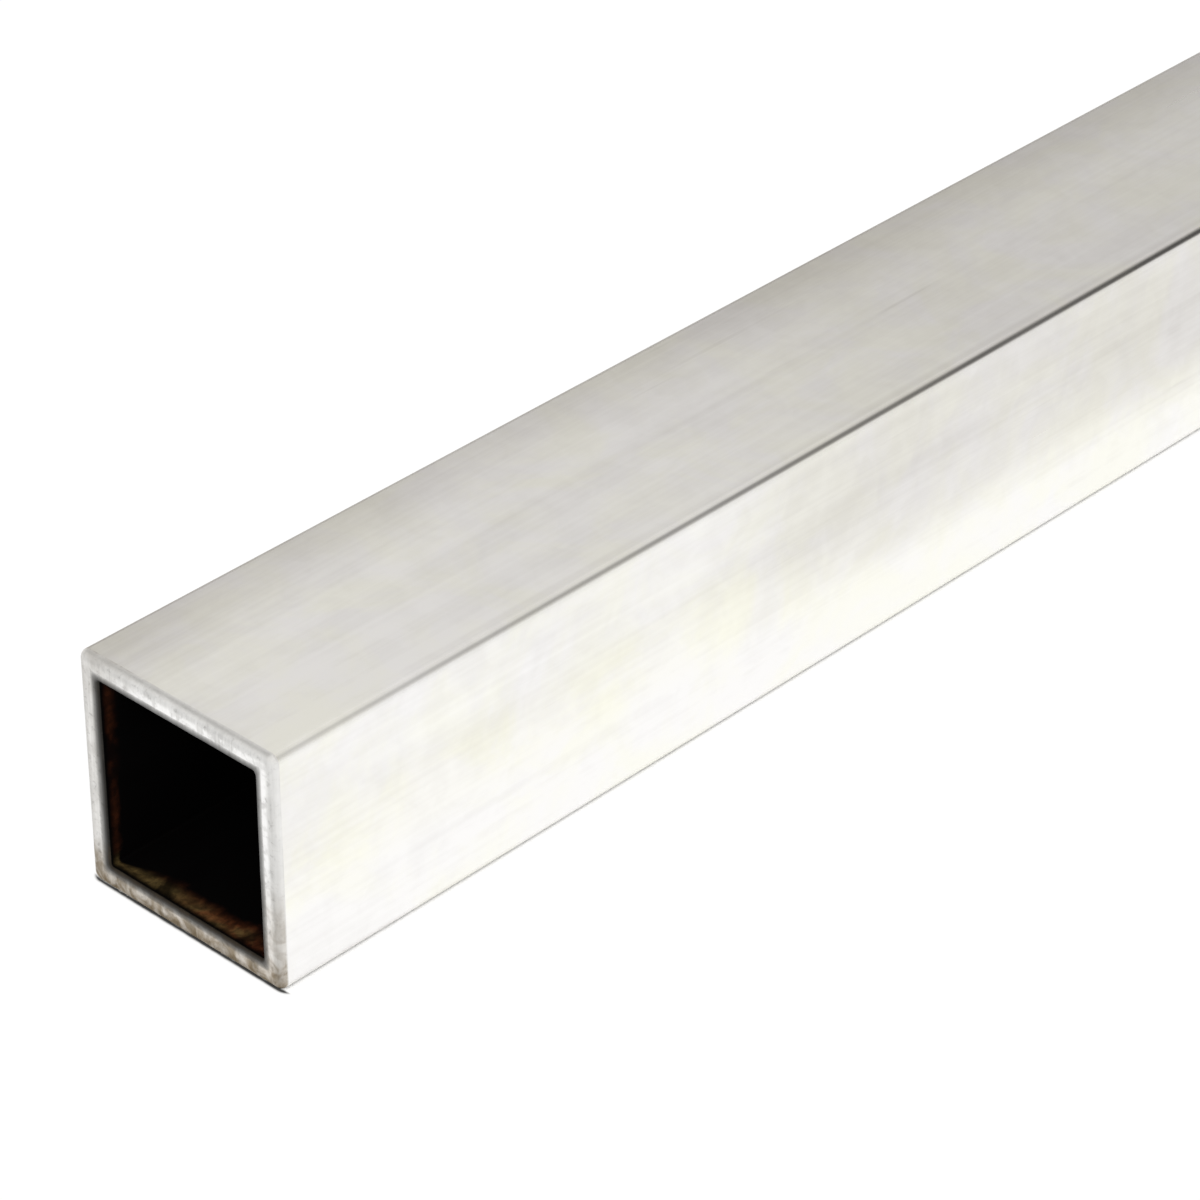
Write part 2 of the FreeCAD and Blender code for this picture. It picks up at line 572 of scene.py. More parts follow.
# %% Lay out four strips
STRIPS = {  # name: (first row of quads, how many rows, runs along the sheet, bottom, top)
    "outside": (0, OUTSIDE_ROWS - 1, True, 0.010, 0.670),
    "far_end": (OUTSIDE_ROWS - 1, END_ROWS, False, 0.796, 0.881),
    "bore": (OUTSIDE_ROWS + END_ROWS - 1, BORE_ROWS + 1, True, 0.682, 0.784),
    "near_end": (OUTSIDE_ROWS + END_ROWS + BORE_ROWS, END_ROWS, False, 0.893, 0.978),
}
SHEET_LEFT, SHEET_RIGHT = 0.01, 0.99

gaps_round = np.hypot(np.diff(y[0], append=y[0, 0]), np.diff(z[0], append=z[0, 0]))
round_share = np.r_[0, np.cumsum(gaps_round)] / gaps_round.sum()
before, after = round_share[:-1], round_share[1:]
profile = np.r_[rows, rows[:1]]
travelled = np.r_[0, np.cumsum(np.hypot(*np.diff(profile, axis=0).T))]
strip_of_row = np.zeros(ALONG, int)
sheet = np.zeros((ALONG, AROUND, 4, 2))
for number, (first, count, runs_along, bottom, top) in enumerate(STRIPS.values()):
    reach = travelled[first:first + count + 1]
    share = (reach - reach[0]) / (reach[-1] - reach[0])
    along_quad = np.stack([share[:-1], share[:-1], share[1:], share[1:]], -1)[:, None]
    round_quad = np.stack([before, after, after, before], -1)[None]
    wide, tall = (along_quad, round_quad) if runs_along else (round_quad, along_quad)
    sheet[first:first + count, ..., 0] = SHEET_LEFT + (SHEET_RIGHT - SHEET_LEFT) * wide
    sheet[first:first + count, ..., 1] = bottom + (top - bottom) * tall
    strip_of_row[first:first + count] = number
uv_map = tube_mesh.uv_layers.new(name="OFBake")
uv_map.data.foreach_set("uv", sheet.astype(np.float32).ravel())
print("strips laid out:", {name: strip[1] for name, strip in STRIPS.items()}, "rows of quads")

# %% [markdown]
# What the surface remembers
#
# A finish changes over the tube in ways that noise alone can't give. So each point carries two
# numbers: its depth in the wall, which tells the rim from the sawn ring and the bevel, and a
# film, which is how dull or dirty the metal is there, and which also holds painted shade and
# painted reflection. A film is drawn as zones. A zone is the product of eased steps: each goes
# from nothing to all between two places, counted in sides of the tube from the near end, up from
# the floor, or across from the middle.

# %% Eased steps, zones and soft clouds
DRIFT_BEND, DRIFT_FALL = 1.2, 0.6


def ease(value, start, stop):
    """From 0 to 1 as the value goes from start to stop: three times the square of how far it
    is, less twice the cube."""
    t = np.clip((value - start) / (stop - start), 0, 1)
    return t * t * (3 - 2 * t)


def zone(*steps):
    """The product of eased steps, each given as (value, start, stop)."""
    return math.prod(ease(*step) for step in steps)


def drifts(u, v, count, seed):
    """Broad soft clouds from about -1 to 1: a sum of plane waves in random directions, each
    bent by the sine of the one before. Each next wave is shorter and weaker."""
    draw = np.random.default_rng(seed)
    total = bend = 0.0
    for number in range(1, count + 1):
        angle, phase = draw.uniform(0, 2 * math.pi, 2)
        run = number * (u * math.cos(angle) + v * math.sin(angle))
        bend = np.sin(run + phase + DRIFT_BEND * bend)
        total = total + bend / number ** DRIFT_FALL
    return total / count ** 0.5


along, across, up_share = (x - low.x) / SIDE, y / SIDE, z / SIDE
print(f"the tube is {along.max():.0f} sides long")

# %% [markdown]
# The dull film and painted reflection on the skin
#
# Handling and thin oxide dull the bare skin in soft clouds, never evenly. The rest of this film
# is painted reflection. The front is painted brightest low down and near the end. Its upper part
# is painted duller, most so towards the far end. The top is painted dullest along its edges and
# towards the far end. The back face and the underside are a little darker. Adding a few zones
# gives this with numbers that can be changed one at a time, which a painted picture can't.

# %% Work out the film and the painted reflection on the skin
on_top = (up_share > 0.98) * 1.0
# Painted reflection: in these zones the top is painted duller.
PAINTED_DULL_ON_TOP = (  # how dull, then the steps of the zone
    (0.235, (across, 0.02, 0.50), (up_share, 0.90, 0.99)),  # the back half
    (0.65, (across, 0.463, 0.478), (up_share, 0.958, 0.982)),  # the back corner itself
    (0.09, (-across, 0.42, 0.46), (up_share, 0.97, 0.99), (along, 0.1, 1.4)),  # the front edge
    (0.082, (along, 2.3, 3.8), (up_share, 0.97, 0.99)),  # the part further on
    (0.03, (-along, -0.05, -0.025), (on_top, 0, 1)),  # beside the sawn rim
)
PAINTED_DULL_REST = 0.038  # on the top, but for a patch near the end at the front
REST_ALONG, REST_ACROSS = (0.3, 1.5), (-0.2, 0.3)
FRONT_PAINT_NEAR, FRONT_PAINT_FAR = 0.085, 0.275  # the upper front near the end, and further on
DULLER_FROM, LINE_SINKS = (2.0, 3.0), (2.2, 3.4)
LINE_HEIGHT, LINE_SINKS_BY, LINE_SOFT = 0.475, 0.15, 0.17  # where the upper front begins
FRONT_FACE, BACK_FACE, UNDERSIDE = (0.46, 0.495), (0.46, 0.495), (-0.02, -0.002)
DULL_BACK_AND_UNDER = 0.16
CLOUD_FILM, CLOUDS_ALONG, CLOUDS_ROUND = 0.025, 0.9, 4
CLOUD_WAVES, CLOUD_SEED = 9, 11

# Painted reflection: the upper front is painted duller, most so further on.
line_height = LINE_HEIGHT - LINE_SINKS_BY * ease(along, *LINE_SINKS)
front_film = ease(up_share, line_height - LINE_SOFT, line_height + LINE_SOFT)
front_film = front_film * (FRONT_PAINT_NEAR + (FRONT_PAINT_FAR - FRONT_PAINT_NEAR) * ease(along, *DULLER_FROM))
front_film = front_film * ease(-across, *FRONT_FACE)
top_film = sum(dull * zone(*steps) for dull, *steps in PAINTED_DULL_ON_TOP)
rest = np.maximum(ease(along, *REST_ALONG), ease(across, *REST_ACROSS))
top_film += PAINTED_DULL_REST * rest * on_top
back_and_under = np.maximum(ease(across, *BACK_FACE), ease(-up_share, *UNDERSIDE))
clouds = drifts(along * CLOUDS_ALONG, (across + up_share) * CLOUDS_ROUND, CLOUD_WAVES, CLOUD_SEED)
skin_film = front_film + top_film + DULL_BACK_AND_UNDER * back_and_under + CLOUD_FILM * clouds
skin_film = np.clip(skin_film, 0, 1)
print(f"film on the skin up to {skin_film.max():.2f}")

# %% [markdown]
# Dirt and painted shade on the sawn ends
#
# A clean sawn end is bright. The lower wall of the real one has picked up brown dirt from the
# shelves and floors that it lies on, and it is also painted darker there as painted shade, most
# of both right at the bottom edge. The strip beside the bore is cleaner, because the deburring
# tool goes there last. The back wall and the lower front wall are a little darker, and the back
# corner of the top wall is painted darker as shade. So dirt comes first, and the darker zones
# count where they are stronger.

# %% Work out the dirt and the painted shade on the ends
DIRT_BOTTOM, DIRT_TOP = 1.6 * MM, 4.6 * MM
DIRT_WANDER, DIRT_SPOTS, DIRT_WAVES, DIRT_SEED = 0.5 * MM, 22, 9, 8
LESS_ABOVE_EDGE, EDGE_ABOVE = 0.22, (0.3 * MM, 1.3 * MM)
CLEAN_LIP, LIP_DEEP, LIP_LOW = 0.4, (1.15 * MM, 1.7 * MM), (-2.8 * MM, -1.9 * MM)
below_top_wall = (up_share < 0.97) * 1.0
DARKER_ZONES_ON_ENDS = (  # how dull, then the steps of the zone
    (0.12, (across, 0.36, 0.44), (below_top_wall, 0, 1)),  # the back wall
    # painted shade in the back corner of the top wall
    (0.16, (across, 0.15, 0.42), (up_share, 0.75, 0.88)),  # the back corner of the top wall
    (0.38, (-across, 0.30, 0.42), (-z, -11 * MM, -4 * MM)),  # the lower front wall
)

ragged = DIRT_WANDER * drifts(across * DIRT_SPOTS, up_share * DIRT_SPOTS, DIRT_WAVES, DIRT_SEED)
dirt_and_painted_shade = 1 - ease(z + ragged, DIRT_BOTTOM, DIRT_TOP)
dirt_and_painted_shade *= 1 - LESS_ABOVE_EDGE * ease(z, *EDGE_ABOVE)
dirt_and_painted_shade *= 1 - CLEAN_LIP * ease(depth, *LIP_DEEP) * ease(-z, *LIP_LOW)
for dull, *steps in DARKER_ZONES_ON_ENDS:
    dirt_and_painted_shade = np.maximum(dirt_and_painted_shade, dull * zone(*steps))
print(f"dirt on the ends up to {dirt_and_painted_shade[depth > 0].max():.2f}")

# %% Store the film with its painted shade, and the depth, with the points
film = np.where(depth > 0, dirt_and_painted_shade, skin_film)
for name, values in (("film", film), ("into_wall", depth / MM)):
    stored = tube_mesh.attributes.new(name, "FLOAT", "POINT")
    stored.data.foreach_set("value", values.astype(np.float32).ravel())
print(f"film from {film.min():.2f} to {film.max():.2f}, {film.mean():.4f} on average")

# %% [markdown]
# Effects that the finishes share
#
# The skin, the sawn ends and the bore are one metal, so they share marks: lines that a tool
# drags, soft clouds, and small scratches. Each such effect is a node group, built once. It
# takes a place on the tube and a few numbers, and each finish sets those numbers its own way.

# %% A frame for shared effects
def new_effect(name, numbers, gives):
    """An empty node group that takes a place and named numbers and gives named values."""
    group = bpy.data.node_groups.new(name, "ShaderNodeTree")
    plan = group.interface
    plan.new_socket("Place", in_out="INPUT", socket_type="NodeSocketVector")
    for label, usual in numbers.items():
        made = plan.new_socket(label, in_out="INPUT", socket_type="NodeSocketFloat")
        made.default_value = usual
    for label in gives:
        plan.new_socket(label, in_out="OUTPUT", socket_type="NodeSocketFloat")
    return group, node(group, "NodeGroupInput").outputs, node(group, "NodeGroupOutput").inputs


def effect(tree, name, place, numbers=None):
    """Places a shared effect in a finish with its own numbers, and gives its outputs."""
    used = node(tree, "ShaderNodeGroup", node_tree=bpy.data.node_groups[name])
    feed(tree, used.inputs["Place"], place)
    for label, value in (numbers or {}).items():
        feed(tree, used.inputs[label], value)
    return used.outputs


print("ready for shared effects on", tube.name)

# %% Dragged lines: noise squeezed across and stretched along one way
LINE_NUMBERS = {"Lines per Metre": 2400.0, "Bands per Metre": 300.0, "Short X": 0.012, "Short Z": 1.0}
LINE_EDGES, BAND_EDGES = (0.30, 0.70), (0.32, 0.68)

group, given, gives = new_effect("dragged_lines", LINE_NUMBERS, ("Line", "Band"))
short = {"X": given["Short X"], "Y": 1.0, "Z": given["Short Z"]}
squeeze = {0: given["Place"], 1: node(group, "ShaderNodeCombineXYZ", short).outputs[0]}
drawn = node(group, "ShaderNodeVectorMath", squeeze, operation="MULTIPLY").outputs[0]
fine = grain(group, drawn, given["Lines per Metre"], detail=3.0, roughness=0.6)
broad = grain(group, drawn, given["Bands per Metre"], detail=3.0, roughness=0.55)
feed(group, gives["Line"], fade(group, fine, *LINE_EDGES))
feed(group, gives["Band"], fade(group, broad, *BAND_EDGES))
print("dragged lines,", len(group.nodes), "nodes")

# %% Clouds: a soft mask in patches
CLOUD_NUMBERS = {"Clouds per Metre": 45.0, "Start": 0.42, "Stop": 0.70}

group, given, gives = new_effect("clouds", CLOUD_NUMBERS, ("Cloud",))
puffs = grain(group, given["Place"], given["Clouds per Metre"],
              detail=5.0, roughness=0.56, distortion=0.6)
feed(group, gives["Cloud"], fade(group, puffs, given["Start"], given["Stop"]))


def cloud_masks(tree, place, kinds):
    """One mask for each kind of cloud: name: (clouds for each metre, start, stop)."""
    masks = {}
    for name, numbers in kinds.items():
        masks[name] = effect(tree, "clouds", place, dict(zip(CLOUD_NUMBERS, numbers)))["Cloud"]
    return masks


print("clouds,", len(group.nodes), "nodes")

# %% Scratches: two sets of thin streaks at a slant, kept to a few patches
STREAKS = (((0.35, 0.20, 0.9), 60.0), ((-0.5, 0.9, -0.35), 95.0))  # slant, patches for each metre
STREAK_LENGTHENED = (0.03, 1.0, 1.0)
STREAK_EDGE = 0.06
PATCH_EDGES = (0.50, 0.66)

group, given, gives = new_effect("scratches", {"Fineness": 900.0, "Start": 0.66}, ("Scratch",))
found = []
for slant, patches in STREAKS:
    turned = {"Vector": given["Place"], "Rotation": slant, "Scale": STREAK_LENGTHENED}
    turned = node(group, "ShaderNodeMapping", turned).outputs[0]
    streak = grain(group, turned, given["Fineness"])
    streak = fade(group, streak, given["Start"], sum_of(group, "ADD", given["Start"], STREAK_EDGE))
    patch = fade(group, grain(group, given["Place"], patches), *PATCH_EDGES)
    found.append(product(group, streak, patch))
feed(group, gives["Scratch"], sum_of(group, "MAXIMUM", *found))
print("scratches,", len(group.nodes), "nodes")

# %% Worn and shaded corners: how near a point is to the middle of a long corner
RAGGED_SPOTS = 700.0  # for each metre
FLAT_ENDS = SIDE / 2 - OUTSIDE_CORNER
CORNER_MIDDLE = SIDE / 2 - OUTSIDE_CORNER * (1 - math.sqrt(0.5))

group, given, gives = new_effect("worn_and_shaded_corners", {"Ragged": 0.25}, ("Corner",))
at = parts_of(group, given["Place"])
from_axis = sum_of(group, "ABSOLUTE", sum_of(group, "SUBTRACT", at["Z"], SIDE / 2))
least = sum_of(group, "MINIMUM", sum_of(group, "ABSOLUTE", at["Y"]), from_axis)
spots = grain(group, given["Place"], RAGGED_SPOTS, detail=3.0, roughness=0.6)
spots = product(group, sum_of(group, "SUBTRACT", spots, 0.5), product(group, given["Ragged"], MM))
corner = fade(group, sum_of(group, "ADD", least, spots), FLAT_ENDS, CORNER_MIDDLE)
feed(group, gives["Corner"], corner)
print("shared effects:", [g.name for g in bpy.data.node_groups])

# %% [markdown]
# The skin
#
# The outside is left as it comes from the die. It is a bright, slightly warm grey with a satin
# shine. Fine lines run along it, and a little haze dulls it in patches. The long corners are
# smoother where they drag on the die, and they are painted darker as shade. Patches of it are
# creamier than the rest. All these marks follow from the place on the tube, so they can be
# worked out by nodes and need no picture.

# %% Start a finish
def new_finish(name, metallic):
    """A material with a place and the two remembered numbers ready to use."""
    finish = bpy.data.materials.new(name)
    finish.use_nodes = True
    tree = finish.node_tree
    shader = tree.nodes["Principled BSDF"].inputs
    shader["Metallic"].default_value = metallic
    place = node(tree, "ShaderNodeTexCoord").outputs["Object"]
    film = node(tree, "ShaderNodeAttribute", attribute_name="film").outputs["Fac"]
    into_wall = node(tree, "ShaderNodeAttribute", attribute_name="into_wall").outputs["Fac"]
    return finish, tree, shader, place, film, into_wall


def bump(tree, shader, height, strength, distance):
    """Lets a height tilt the light on the surface."""
    given = {"Strength": strength, "Distance": distance, "Height": height}
    feed(tree, shader["Normal"], node(tree, "ShaderNodeBump", given).outputs[0])


print("a finish reads", [a.name for a in tube_mesh.attributes if a.name in ("film", "into_wall")])

# %% Marks on the skin
SKIN_CLOUDS = {  # name: (clouds for each metre, where the mask starts, where it is full)
    "cloud": (45.0, 0.42, 0.70), "mottle": (420.0, 0.30, 0.70), "tint": (130.0, 0.36, 0.64),
}

skin, tree, shader, place, film_here, _ = new_finish("mill_skin", 1.0)
at = parts_of(tree, place)
lines = effect(tree, "dragged_lines", place)
marks = cloud_masks(tree, place, SKIN_CLOUDS)
marks.update(line=lines["Line"], band=lines["Band"])
marks["scratch"] = effect(tree, "scratches", place)["Scratch"]
marks["worn_and_shaded"] = effect(tree, "worn_and_shaded_corners", place)["Corner"]
print("marks on the skin:", list(marks))

# %% [markdown]
# The line along the top
#
# Metal flows into the die of a hollow section in streams, which join again round its core. The
# real tube shows one such join as a faint dull line along the middle of the top. It starts a
# little way in, and comes and goes further on. Noise that reads only the place along the tube
# moves a straight line to and fro without breaking it up.

# %% Draw the line along the top
SEAM_HALF_WIDTH, SEAM_WANDER = 0.75 * MM, 1.6 * MM
SEAM_WANDERS, SEAM_BREAKS = 60.0, 9.0  # for each metre
SEAM_DEPTHS = (SIDE - 0.3 * MM, SIDE - 0.1 * MM)
SEAM_STARTS = (low.x + 1.2 * SIDE, low.x + 1.6 * SIDE)
SEAM_THINS = (low.x + 2.9 * SIDE, low.x + 3.4 * SIDE)
BREAK_EDGES = (0.35, 0.60)

only_along = node(tree, "ShaderNodeCombineXYZ", {"X": at["X"]}).outputs[0]
wander = sum_of(tree, "SUBTRACT", grain(tree, only_along, SEAM_WANDERS), 0.5)
off_seam = sum_of(tree, "ABSOLUTE", sum_of(tree, "MULTIPLY_ADD", wander, SEAM_WANDER, at["Y"]))
come_and_go = fade(tree, grain(tree, only_along, SEAM_BREAKS), *BREAK_EDGES)
broken = blend(tree, fade(tree, at["X"], *SEAM_THINS), WHITE, come_and_go)
marks["seam"] = product(tree, fade(tree, off_seam, SEAM_HALF_WIDTH, 0.0),
                        fade(tree, at["Z"], *SEAM_DEPTHS), fade(tree, at["X"], *SEAM_STARTS), broken)
print(f"seam {2 * SEAM_HALF_WIDTH / MM} mm wide from {SEAM_STARTS[0] - low.x:.3f} m in")

# %% [markdown]
# An ivory band of painted reflection along the front
#
# Between the bright lower part of the front and its duller upper part, the metal looks faintly
# yellow, like old ivory. The band is a painted reflection: it follows the edge of the painted
# reflection in the film, and it sinks and weakens further on. A tint that multiplies the colour
# keeps the lines and clouds under it.

# %% Lay the ivory band of painted reflection
IVORY_REFLECTION = (1.0, 0.998, 0.925, 1)
IVORY_LEAST, IVORY_PATCHY = 0.45, 0.20
IVORY_HEIGHTS = (10 * MM, 7 * MM)  # near the end, and further along
IVORY_SINKS = (low.x + 2.2 * SIDE, low.x + 3.4 * SIDE)
IVORY_FURTHER = 0.35
IVORY_FADE = (4.5 * MM, 1.5 * MM)
IVORY_FRONT = (low.y + 0.4 * MM, low.y + 0.1 * MM)

ivory_height = fade(tree, at["X"], *IVORY_SINKS, *IVORY_HEIGHTS)
off_ivory = sum_of(tree, "ABSOLUTE", sum_of(tree, "SUBTRACT", at["Z"], ivory_height))
painted_ivory_reflection = product(tree, fade(tree, off_ivory, *IVORY_FADE),
                sum_of(tree, "MULTIPLY_ADD", marks["tint"], IVORY_PATCHY, IVORY_LEAST),
                fade(tree, at["Y"], *IVORY_FRONT),
                fade(tree, at["X"], *IVORY_SINKS, 1.0, IVORY_FURTHER))
print(f"ivory band {IVORY_HEIGHTS[0] / MM:.0f} mm up, then {IVORY_HEIGHTS[1] / MM:.0f} mm")

# %% [markdown]
# Colour and shine of the skin
#
# Each mark adds its share of haze to the stored film, which holds painted reflection, and haze
# turns bright metal dull brown-grey, so the same colour serves as haze and as painted shade.
# Lines, clouds and scratches also make the metal rougher, and the worn corners are smoother. Lines
# and scratches tilt the light a little, so they go into the bump as well as the colour.

# %% Put the skin together
BRIGHT_METAL, CREAM = (0.985, 0.975, 0.966, 1), (0.990, 0.983, 0.915, 1)
HAZE_AND_SHADE, CORNER_PAINTED_SHADE = (0.25, 0.210, 0.172, 1), (0.60, 0.59, 0.57, 1)
HAZE_SHARES = {
    "cloud": 0.06, "seam": 0.055, "band": 0.05, "line": 0.03, "mottle": 0.05, "scratch": 0.10,
}
HAZE_SPARED, CORNER_SHADE_SHARE = -0.08, 0.30
SKIN_ROUGH = 0.27
SKIN_ROUGH_SHARES = {"band": 0.05, "line": 0.04, "cloud": 0.05, "scratch": 0.08, "worn_and_shaded": -0.12}
SKIN_SCRATCH_CUTS, SKIN_BUMP = -0.6, (0.35, 0.004 * MM)

haze_and_shade = add_shares(tree, film_here, HAZE_SHARES, marks)
haze_and_shade = sum_of(tree, "ADD", haze_and_shade, HAZE_SPARED, clamp=True)
metal = blend(tree, painted_ivory_reflection, blend(tree, marks["tint"], BRIGHT_METAL, CREAM), IVORY_REFLECTION, "MULTIPLY")
colour = blend(tree, haze_and_shade, metal, HAZE_AND_SHADE)
# Painted shade: the long corners are painted darker.
colour = blend(tree, product(tree, marks["worn_and_shaded"], CORNER_SHADE_SHARE), colour, CORNER_PAINTED_SHADE)
feed(tree, shader["Base Color"], colour)
feed(tree, shader["Roughness"], add_shares(tree, SKIN_ROUGH, SKIN_ROUGH_SHARES, marks))
relief = sum_of(tree, "MULTIPLY_ADD", marks["scratch"], SKIN_SCRATCH_CUTS, marks["line"])
bump(tree, shader, relief, *SKIN_BUMP)
tube_mesh.materials.append(skin)
print("skin,", len(tree.nodes), "nodes")

# %% [markdown]
# The sawn ends
#
# The saw tears the metal, so an end is rougher and greyer than the skin, with fine lines all
# one way and small specks. Across the wall, the rounded rim is painted a little duller than the
# sawn ring as a painted reflection, and the metal falls to dark at the bevel, which turns into
# the bore, as painted shade. The strip beside the bore is burnished by the deburring tool in
# short touches, and it is painted brighter there as a painted highlight, faintest along the back
# wall. A ramp over the depth in the wall gives the first, and a mask the second.

# %% Sawn metal across the wall
# The dip at the rim is a painted reflection, and the fall at the bevel is painted shade.
ACROSS_WALL = (  # millimetres into the wall, how bright the metal is
    (0.0, 0.94), (0.20, 0.81), (0.45, 0.80), (0.80, 0.92), (1.24, 0.90),
    (1.52, 0.40), (1.80, 0.13), (1.90, 0.035), (2.0, 0.008),
)
SAWN_TINT = Vector((1.0, 0.993, 0.975))
SAW_LINES = {"Lines per Metre": 4200.0, "Bands per Metre": 900.0, "Short X": 1.0, "Short Z": 0.05}
SAW_SCRATCHES = {"Fineness": 2600.0, "Start": 0.62}
SAWN_CLOUDS = {  # name: (clouds for each metre, where the mask starts, where it is full)
    "speck": (2600.0, 0.52, 0.72), "touches": (800.0, 0.38, 0.56),
    "patchy": (330.0, 0.44, 0.66), "blotch": (780.0, 0.34, 0.68),
}

sawn, tree, shader, place, film_here, into_wall = new_finish("sawn_end", 1.0)
at = parts_of(tree, place)
lines = effect(tree, "dragged_lines", place, SAW_LINES)
marks = cloud_masks(tree, place, SAWN_CLOUDS)
marks.update(line=lines["Line"], band=lines["Band"], film=film_here)
marks["scratch"] = effect(tree, "scratches", place, SAW_SCRATCHES)["Scratch"]
wall_share = sum_of(tree, "DIVIDE", into_wall, WALL / MM)
metal = ramp(tree, wall_share, [(deep / (WALL / MM), SAWN_TINT * level) for deep, level in ACROSS_WALL])
print("marks on the sawn ends:", list(marks))

# %% The burnished strip with its painted highlight, and the torn metal
LIP_HIGHLIGHT, TORN_GREY = (1.0, 0.995, 0.985, 1), (0.10, 0.095, 0.085, 1)
LIP_STARTS, LIP_STOPS = (0.62, 0.95), (1.40, 1.26)  # millimetres into the wall
BURNISH_AND_HIGHLIGHT_FROM, LEAST_BURNISH_AND_HIGHLIGHT = (SIDE * 0.45, SIDE * 0.10), 0.10
TORN_SHARES = {"line": 0.14, "band": 0.10, "speck": 0.22, "patchy": 0.14}
TORN_FROM, TORN_AT_RIM = (0.15, 0.60), 0.35
TORN_LESS_ON_LIP = -0.80

# Painted highlight: the burnished strip is painted brighter, faintest along the back wall.
lip_highlight = product(tree, fade(tree, into_wall, *LIP_STARTS), fade(tree, into_wall, *LIP_STOPS),
              marks["touches"], fade(tree, at["Y"], *BURNISH_AND_HIGHLIGHT_FROM, LEAST_BURNISH_AND_HIGHLIGHT, 1.0))
torn = product(tree, add_shares(tree, 0.0, TORN_SHARES, marks),
               fade(tree, into_wall, *TORN_FROM, TORN_AT_RIM, 1.0),
               sum_of(tree, "MULTIPLY_ADD", lip_highlight, TORN_LESS_ON_LIP, 1.0))
sawn_colour = blend(tree, torn, blend(tree, lip_highlight, metal, LIP_HIGHLIGHT), TORN_GREY)
print("burnished from", LIP_STARTS[0], "to", LIP_STOPS[0], "mm into the wall")

# %% [markdown]
# Dirt and painted shade over the sawn metal
#
# Real dirt does three things, and each is a layer here: it stains the metal brown, it lies on the
# darkest spots as paler dust, and it cakes in blotches. All three follow the stored film, which
# also holds painted shade, so the brown stain is partly painted shade.

# %% Lay the dirt and the painted shade, and put the sawn end together
DIRT_AND_SHADE, DUST = (0.39, 0.305, 0.195, 1), (0.075, 0.058, 0.040, 1)
CAKED_DIRT, CAKED_SHARE = (0.075, 0.065, 0.052, 1), 0.34
GRIME_PATCHY, GRIME_LEAST = 0.55, 0.60
SAWN_ROUGH, SAWN_ROUGH_SHARES = 0.42, {"band": 0.12, "speck": 0.10, "film": 0.15}
SAWN_BAND_RELIEF, SAWN_SCRATCH_CUTS, SAWN_BUMP = 0.8, -0.7, (0.6, 0.012 * MM)

patchy_grime = sum_of(tree, "MULTIPLY_ADD", marks["blotch"], GRIME_PATCHY, GRIME_LEAST)
grime_and_painted_shade = sum_of(tree, "MULTIPLY", film_here, patchy_grime, clamp=True)
# The brown stain darkens both the dirt and the painted shade.
stained_and_shaded = blend(tree, grime_and_painted_shade, sawn_colour, DIRT_AND_SHADE, "MULTIPLY")
dusty = blend(tree, grime_and_painted_shade, stained_and_shaded, DUST, "LIGHTEN")
caked = product(tree, film_here, marks["blotch"], CAKED_SHARE)
feed(tree, shader["Base Color"], blend(tree, caked, dusty, CAKED_DIRT))
feed(tree, shader["Roughness"], add_shares(tree, SAWN_ROUGH, SAWN_ROUGH_SHARES, marks))
relief_shares = {"band": SAWN_BAND_RELIEF, "scratch": SAWN_SCRATCH_CUTS}
bump(tree, shader, add_shares(tree, marks["line"], relief_shares, marks), *SAWN_BUMP)
tube_mesh.materials.append(sawn)
print("sawn end,", len(tree.nodes), "nodes")

# %% [markdown]
# The bore
#
# Nobody cleans the inside of stock tube. A film of old oil and dust covers it, brown all round,
# with some olive on the floor. Near the mouth this colour is painted only as far as light gets in,
# a painted pool of light: strongest on the floor, further in along the middle than in the
# corners, and with a painted dark line at the very edge. No light gets far in, so the rest is
# painted black as shade. A dark, mostly matt surface gives that: light bounces along a bright
# bore and would fill it.

# %% Marks in the bore
BORE_LINES = {"Lines per Metre": 1800.0, "Short X": 0.05}
BORE_CLOUDS = {  # name: (clouds for each metre, where the mask starts, where it is full)
    "patch": (160.0, 0.40, 0.62), "bare": (330.0, 0.42, 0.62), "crumbs": (1500.0, 0.36, 0.66),
}
HARDLY_SHINY = 0.05

bore, tree, shader, place, _, _ = new_finish("bore_wall", 0.0)
shader["Specular IOR Level"].default_value = HARDLY_SHINY
at = parts_of(tree, place)
inward = sum_of(tree, "SUBTRACT", LENGTH / 2, sum_of(tree, "ABSOLUTE", at["X"]))
lines = effect(tree, "dragged_lines", place, BORE_LINES)
marks = cloud_masks(tree, place, BORE_CLOUDS)
marks.update(line=lines["Line"], band=lines["Band"])
patch_wander = sum_of(tree, "SUBTRACT", marks["patch"], 0.5)
print("marks in the bore:", list(marks))

# %% Colour of the film at the mouth
MOUTH_BROWN, MOUTH_OLIVE = (0.150, 0.042, 0.016, 1), (0.125, 0.084, 0.031, 1)
PAINTED_DARK = (0.0012, 0.0010, 0.0010, 1)
OLIVE_WANDER, OLIVE_ACROSS = 7 * MM, (-7 * MM, 0.0)
OLIVE_UP, OLIVE_IN = (3.2 * MM, 2.4 * MM), (2.4 * MM, 1.2 * MM)
DARKER_SHARES = {"line": 0.30, "crumbs": 0.55, "bare": 0.85}

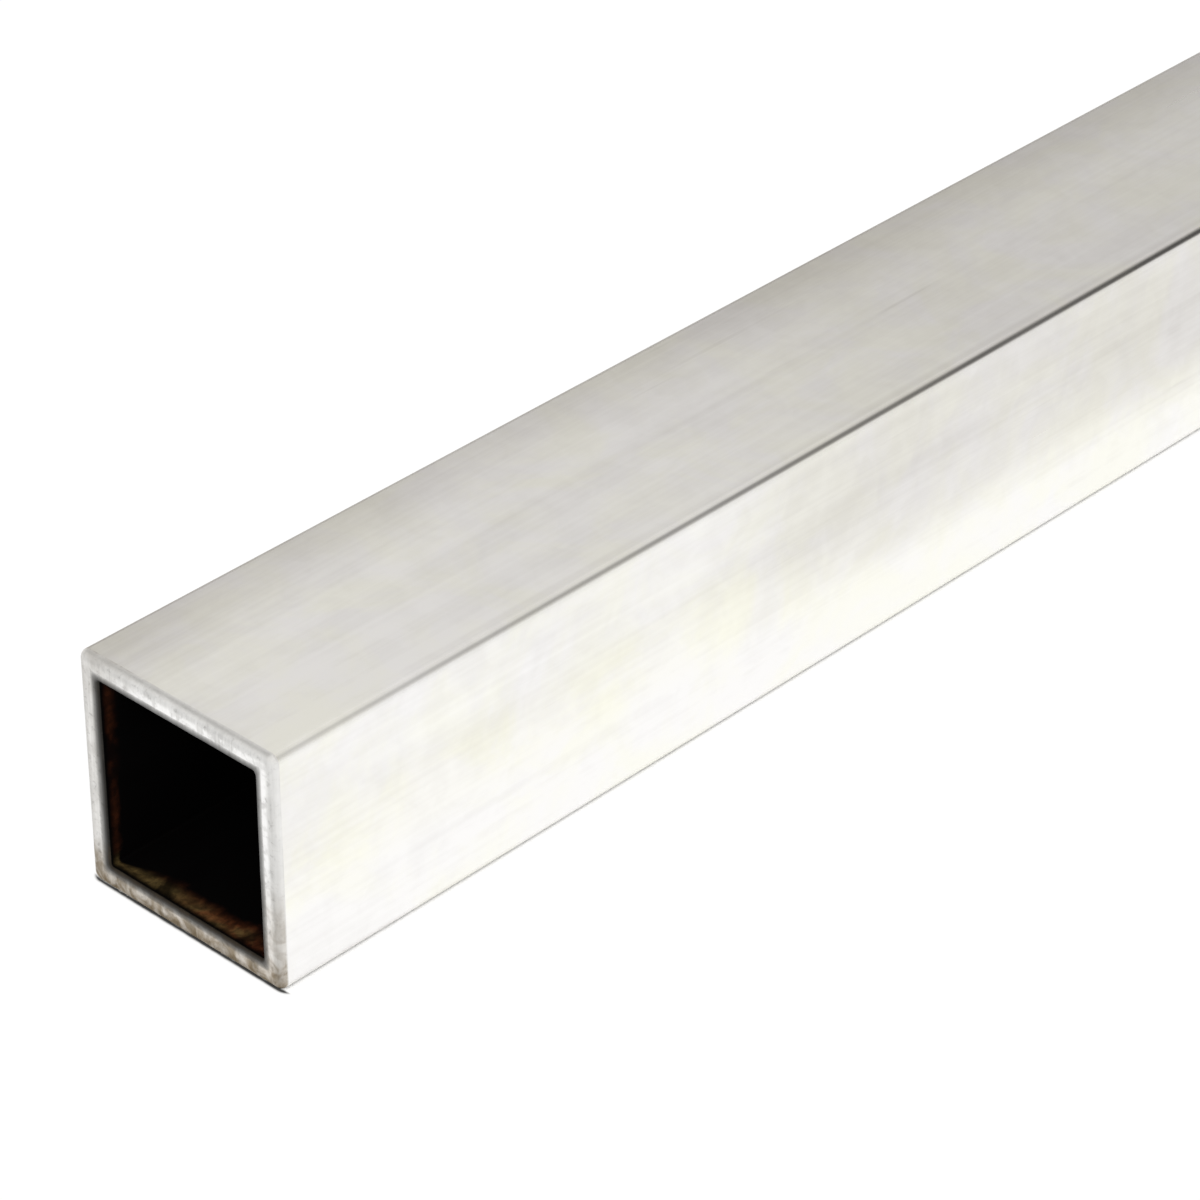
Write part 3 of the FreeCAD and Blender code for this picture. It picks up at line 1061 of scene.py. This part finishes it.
olive_at = sum_of(tree, "MULTIPLY_ADD", patch_wander, OLIVE_WANDER, at["Y"])
olive = product(tree, fade(tree, olive_at, *OLIVE_ACROSS), fade(tree, at["Z"], *OLIVE_UP),
                fade(tree, inward, *OLIVE_IN))
mouth = blend(tree, olive, MOUTH_BROWN, MOUTH_OLIVE)
for name, share in DARKER_SHARES.items():
    mouth = blend(tree, product(tree, marks[name], share), mouth, PAINTED_DARK)
print("film at the mouth broken up by", list(DARKER_SHARES))

# %% Where the film shows, as a painted pool of light
DARK_MOUTH_EDGE = (0.25 * MM, 0.9 * MM)
SHALLOW, LONG, REACH_WANDER = 1.5 * MM, 2.8 * MM, 0.9 * MM
REACH_ACROSS = (4 * MM, SIDE / 2 - WALL)
THINS_FROM = 0.8 * MM
ON_SIDE_WALLS, SIDE_WALLS_FROM = 0.24, (WALL + 0.7 * MM, WALL + 0.1 * MM)
BORE_ROUGH, BORE_BAND_SHARE, BORE_BUMP = 0.50, 0.15, (0.3, 0.01 * MM)

reach = fade(tree, sum_of(tree, "ABSOLUTE", at["Y"]), *REACH_ACROSS, LONG, SHALLOW)
reach = sum_of(tree, "MULTIPLY_ADD", patch_wander, REACH_WANDER, reach)
# Painted light and shade: the film shows where light gets in, and the rest is painted dark.
amount = product(tree, fade(tree, inward, *DARK_MOUTH_EDGE), fade(tree, inward, reach, THINS_FROM),
                 fade(tree, at["Z"], *SIDE_WALLS_FROM, ON_SIDE_WALLS, 1.0))
feed(tree, shader["Base Color"], blend(tree, amount, PAINTED_DARK, mouth))
rough = sum_of(tree, "MULTIPLY_ADD", marks["band"], BORE_BAND_SHARE, BORE_ROUGH)
feed(tree, shader["Roughness"], rough)
bump(tree, shader, marks["line"], *BORE_BUMP)
tube_mesh.materials.append(bore)
print(f"film in the bore reaches {LONG / MM} mm in along the middle of the floor")

# %% Give each strip its finish
FINISH_OF_STRIP = np.array([0, 1, 2, 1])  # skin, sawn, bore, sawn, in the order of the strips

finish_of_quad = np.repeat(FINISH_OF_STRIP[strip_of_row], AROUND)
tube_mesh.polygons.foreach_set("material_index", finish_of_quad)
print("finishes:", [m.name for m in tube_mesh.materials], np.bincount(finish_of_quad), "quads each")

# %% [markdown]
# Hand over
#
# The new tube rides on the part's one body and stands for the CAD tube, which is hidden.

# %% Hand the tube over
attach(tube, "root")
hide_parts("square_tube")

print("handed over:", tube.name)
